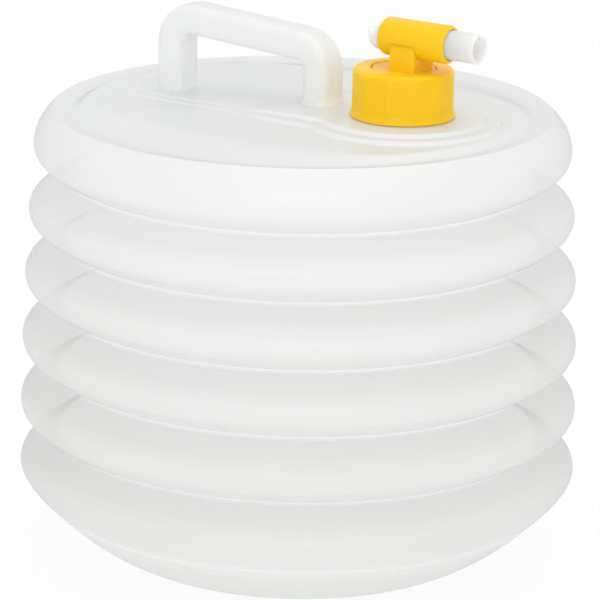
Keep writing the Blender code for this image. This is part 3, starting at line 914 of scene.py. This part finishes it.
def collar_inside():
    """The hole for the tap's hub, the ceiling over its disc, and the threaded bore."""
    hole = COLLAR_HOLE_RADIUS
    ceiling = COLLAR_HIGH - COLLAR_TOP_WALL
    thread_top = ceiling - DISC_THICKNESS * 2
    profile = [(hole + COLLAR_EDGE, COLLAR_HIGH), (hole, COLLAR_HIGH - COLLAR_EDGE), (hole, ceiling)]
    profile += [(COLLAR_BORE_RADIUS, ceiling)]
    rings = [circle(radius, height, COLLAR_ROUND, NECK_X) for radius, height in profile]
    low = COLLAR_LOW + COLLAR_LEAD_IN + THREAD_PITCH / 2
    high = thread_top + THREAD_PITCH / 2
    for step in range(THREAD_STEPS + 1):
        height = thread_top + (COLLAR_LOW + COLLAR_EDGE - thread_top) * step / THREAD_STEPS
        ring = []
        for turn_step in range(COLLAR_ROUND):
            angle = 2 * math.pi * turn_step / COLLAR_ROUND
            radius = COLLAR_BORE_RADIUS - thread(angle, height + THREAD_PITCH / 2, low, high)
            ring.append(round_point(radius, angle, height, NECK_X))
        rings.append(ring)
    rings.append(circle(COLLAR_BORE_RADIUS + COLLAR_EDGE, COLLAR_LOW, COLLAR_ROUND, NECK_X))
    return rings


def make_collar(material):
    """The screw collar, outside and inside in one closed skin."""
    vertices, faces = loft(collar_outside() + collar_inside())
    return add_piece("tap_collar", vertices, faces, material, "collar", ["screw_collar"])


def stem_outline(grow):
    """The stem's rounded rectangle, with points across it for the barrel's curve."""
    half_length = STEM_LENGTH / 2 + grow
    half_width = STEM_WIDTH / 2 + grow
    rounding = STEM_ROUNDING + grow
    points = []
    for corner, (x_side, y_side) in enumerate(((1, 1), (-1, 1), (-1, -1), (1, -1))):
        for step in range(STEM_CORNER):
            angle = math.pi / 2 * (corner + step / (STEM_CORNER - 1))
            x = x_side * (half_length - rounding) + rounding * math.cos(angle)
            y = y_side * (half_width - rounding) + rounding * math.sin(angle)
            points.append((x, y))
        if corner % 2:
            for step in range(1, STEM_SIDE + 1):
                share = 1 - 2 * step / (STEM_SIDE + 1)
                points.append((x_side * half_length, (half_width - rounding) * y_side * share))
    return points


def stem_lid(start):
    """Strips along the tap over a ring of the stem's outline, so that the lid bends with the ring."""
    count = 4 * STEM_CORNER + 2 * STEM_SIDE
    faces = []
    for near in range(STEM_CORNER, 3 * STEM_CORNER + STEM_SIDE - 1):
        far = 2 * STEM_CORNER - 1 - near
        corners = (near, near + 1, (far - 1) % count, far % count)
        faces.append([start + corner for corner in corners])
    return faces


def barrel_underside(y):
    """Height of the barrel's underside across the tap, kept short of its very side."""
    across = min(abs(y), BARREL_RADIUS * BARREL_SIDE_SHARE)
    return BARREL_HEIGHT - math.sqrt(BARREL_RADIUS**2 - across**2)


def make_stem():
    """The block between the hub and the barrel, with a small fillet at its foot."""
    low = HUB_TOP - STEM_FILLET / 4
    rings = []
    for step in range(STEM_FILLET_STEPS + 1):
        angle = math.pi / 2 * step / STEM_FILLET_STEPS
        height = low + STEM_FILLET * (1 - math.cos(angle))
        outline = stem_outline(STEM_FILLET * (1 - math.sin(angle)))
        rings.append([Vector((TAP_X + STEM_OFFSET + x, y, height)) for x, y in outline])
    for step in range(1, STEM_STEPS + 1):
        share = step / STEM_STEPS
        ring = []
        for x, y in stem_outline(0.0):
            top = barrel_underside(y) + STEM_FILLET / 2
            height = low + STEM_FILLET + (top - low - STEM_FILLET) * share
            ring.append(Vector((TAP_X + STEM_OFFSET + x, y, height)))
        rings.append(ring)
    vertices, faces = loft(rings, closed=False)
    faces += stem_lid(0) + stem_lid(len(vertices) - len(rings[-1]))
    return vertices, faces


def make_disc():
    """The sealing disc, the hub in the collar's hole, the spigot, and the way up for the water."""
    soft = COLLAR_EDGE
    profile = [(HUB_RADIUS - soft, HUB_TOP), (HUB_RADIUS, HUB_TOP - soft), (HUB_RADIUS, DISC_TOP)]
    profile += [(DISC_RADIUS - soft, DISC_TOP), (DISC_RADIUS, DISC_TOP - soft), (DISC_RADIUS, DISC_LOW)]
    profile += [(SPIGOT_RADIUS, DISC_LOW), (SPIGOT_RADIUS, DISC_LOW - SPIGOT_DEPTH)]
    profile += [(SPIGOT_RADIUS - SPIGOT_WALL, DISC_LOW - SPIGOT_DEPTH)]
    profile += [(SPIGOT_RADIUS - SPIGOT_WALL, DISC_LOW)]
    rings = [circle(radius, height, COLLAR_ROUND, NECK_X) for radius, height in profile]
    for height in (DISC_LOW, HUB_TOP):
        rings.append(circle(PASSAGE_RADIUS, height, COLLAR_ROUND, TAP_X))
    return loft(rings)


def make_barrel():
    """The barrel across the tap, a tube with soft ends."""
    bore = BARREL_RADIUS - BARREL_WALL
    soft = BARREL_BORE_EDGE
    cut = BARREL_CHAMFER
    edge = [(BARREL_RADIUS - cut * inward, cut * along) for inward, along in BARREL_EDGE]
    profile = [(radius, BARREL_BACK + inset) for radius, inset in edge]
    profile += [(radius, BARREL_FRONT - inset) for radius, inset in edge[::-1]]
    profile += [(bore + soft, BARREL_FRONT), (bore, BARREL_FRONT - soft)]
    profile += [(bore, BARREL_BACK + soft), (bore + soft, BARREL_BACK)]
    return loft([circle_along_x(radius, place) for radius, place in profile])


def make_tap(material):
    """The tap's housing: sealing disc with hub and spigot, stem, and the barrel across it."""
    vertices = []
    faces = []
    for part_vertices, part_faces in (make_disc(), make_stem(), make_barrel()):
        count = len(vertices)
        vertices += part_vertices
        faces += [[count + corner for corner in face] for face in part_faces]
    nodes = ["tap_body"]
    return add_piece("tap_housing", vertices, faces, material, "tap", nodes, CRISP_ANGLE)


def make_spout(material):
    """The spout tube: dome at the back, three seal grooves, and a mouth with a soft lip."""
    profile = []
    for step in range(SPOUT_DOME_STEPS + 1):
        angle = math.pi / 2 * step / SPOUT_DOME_STEPS
        radius = SPOUT_RADIUS * math.sin(angle)
        profile.append((radius, SPOUT_BACK - SPOUT_RADIUS * math.cos(angle)))
    groove = SPOUT_RADIUS - SEAL_DEPTH
    for place in SEAL_PLACES:
        low, high = place - SEAL_ROOM, place + SEAL_ROOM
        profile += [(SPOUT_RADIUS, low), (groove, low), (groove, high), (SPOUT_RADIUS, high)]
    middle = (SPOUT_RADIUS + SPOUT_BORE_RADIUS) / 2
    half = (SPOUT_RADIUS - SPOUT_BORE_RADIUS) / 2
    for step in range(SPOUT_LIP_STEPS + 1):
        angle = math.pi * step / SPOUT_LIP_STEPS
        profile.append((middle + half * math.cos(angle), SPOUT_FRONT - half + half * math.sin(angle)))
    profile.append((SPOUT_BORE_RADIUS, SEAL_PLACES[0]))
    profile.append((0.0, SEAL_PLACES[0]))
    rings = [circle_along_x(radius, place) for radius, place in profile]
    vertices, faces = loft(rings, closed=False)
    nodes = ["spout_tube"]
    return add_piece("tap_spout", vertices, faces, material, "spout", nodes, CRISP_ANGLE)


def dress_hidden_nodes(rubber):
    """The gasket and the seals keep their own solids, in the look of soft rubber."""
    for name in ("neck_gasket", "spout_seal_rear", "spout_seal_middle", "spout_seal_front"):
        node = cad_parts[name]
        node.data.materials.clear()
        node.data.materials.append(rubber)


def make_camera():
    """The photograph's view, turned a little about its own axis."""
    across = Vector((math.cos(VIEW_AZIMUTH), math.sin(VIEW_AZIMUTH), 0))
    level = Vector((-math.sin(VIEW_AZIMUTH), math.cos(VIEW_AZIMUTH), 0))
    forward = level * math.cos(VIEW_ELEVATION) - Vector((0, 0, math.sin(VIEW_ELEVATION)))
    up = across.cross(forward)
    right = across * math.cos(VIEW_ROLL) + up * math.sin(VIEW_ROLL)
    top = up * math.cos(VIEW_ROLL) - across * math.sin(VIEW_ROLL)
    camera = bpy.data.objects.new("camera", bpy.data.cameras.new("camera"))
    bpy.context.scene.collection.objects.link(camera)
    camera.data.lens = LENS
    camera.data.sensor_width = SENSOR_WIDTH
    camera.data.clip_end = VIEW_END
    turn = Matrix((right, top, -forward)).transposed().to_4x4()
    place = -level * VIEW_DISTANCE + Vector((0, 0, VIEW_HEIGHT))
    camera.matrix_world = Matrix.Translation(place) @ turn
    bpy.context.scene.camera = camera


def make_light(name, place, size, power):
    """A square white lamp that faces the object."""
    data = bpy.data.lights.new(name, "AREA")
    data.shape = "SQUARE"
    data.size = size
    data.energy = power
    lamp = bpy.data.objects.new(name, data)
    bpy.context.scene.collection.objects.link(lamp)
    lamp.location = place
    aim = Vector(LIGHT_TARGET) - Vector(place)
    lamp.rotation_euler = aim.to_track_quat("-Z", "Y").to_euler()


def seen_directly(tree):
    """1 for rays from the camera, from mirror reflections and through clear plastic, and else 0."""
    path = tree.nodes.new("ShaderNodeLightPath").outputs
    mirrored = math_node(tree, "MAXIMUM", path["Is Camera Ray"], path["Is Glossy Ray"])
    return math_node(tree, "MAXIMUM", mirrored, path["Is Transmission Ray"])


def make_world():
    """Even white light, and plain white where the backdrop is seen."""
    world = bpy.data.worlds.new("studio")
    bpy.context.scene.world = world
    world.use_nodes = True
    tree = world.node_tree
    background = tree.nodes["Background"]
    background.inputs["Color"].default_value = (1, 1, 1, 1)
    strength = spread(tree, seen_directly(tree), WORLD_LIGHT, 1.0)
    tree.links.new(strength, background.inputs["Strength"])


def make_floor():
    """A pale floor that keeps the shadow and is nearly white where it is seen."""
    half = FLOOR_SIZE / 2
    mesh = bpy.data.meshes.new("floor")
    corners = [(-half, -half, 0), (half, -half, 0), (half, half, 0), (-half, half, 0)]
    mesh.from_pydata(corners, [], [(0, 1, 2, 3)])
    floor = bpy.data.objects.new("floor", mesh)
    bpy.context.scene.collection.objects.link(floor)
    floor.location.z = -FLOOR_DROP
    material, tree, shader = new_material("floor")
    shader.inputs["Base Color"].default_value = FLOOR_COLOUR
    shader.inputs["Roughness"].default_value = FLOOR_ROUGHNESS
    glow = tree.nodes.new("ShaderNodeEmission")
    glow.inputs["Strength"].default_value = 1.0
    mix = tree.nodes.new("ShaderNodeMixShader")
    tree.links.new(spread(tree, seen_directly(tree), 0.0, FLOOR_GLOW), mix.inputs["Fac"])
    tree.links.new(shader.outputs["BSDF"], mix.inputs[1])
    tree.links.new(glow.outputs["Emission"], mix.inputs[2])
    tree.links.new(mix.outputs["Shader"], tree.nodes["Material Output"].inputs["Surface"])
    mesh.materials.append(material)


def make_lights():
    make_light("key", KEY_PLACE, KEY_SIZE, KEY_POWER)
    make_light("top", TOP_PLACE, TOP_SIZE, TOP_POWER)


def build():
    bag = bag_material("bag_plastic", *SKIN_ALPHA)
    thick = bag_material("handle_plastic", *HANDLE_ALPHA)
    yellow = yellow_material()
    make_base(bag)
    make_bellows(bag)
    make_top(bag)
    make_handle(thick)
    make_collar(yellow)
    make_tap(yellow)
    make_spout(spout_material())
    dress_hidden_nodes(rubber_material())
    make_camera()
    make_world()
    make_floor()
    make_lights()
    bpy.context.scene.view_settings.view_transform = "Standard"


build()
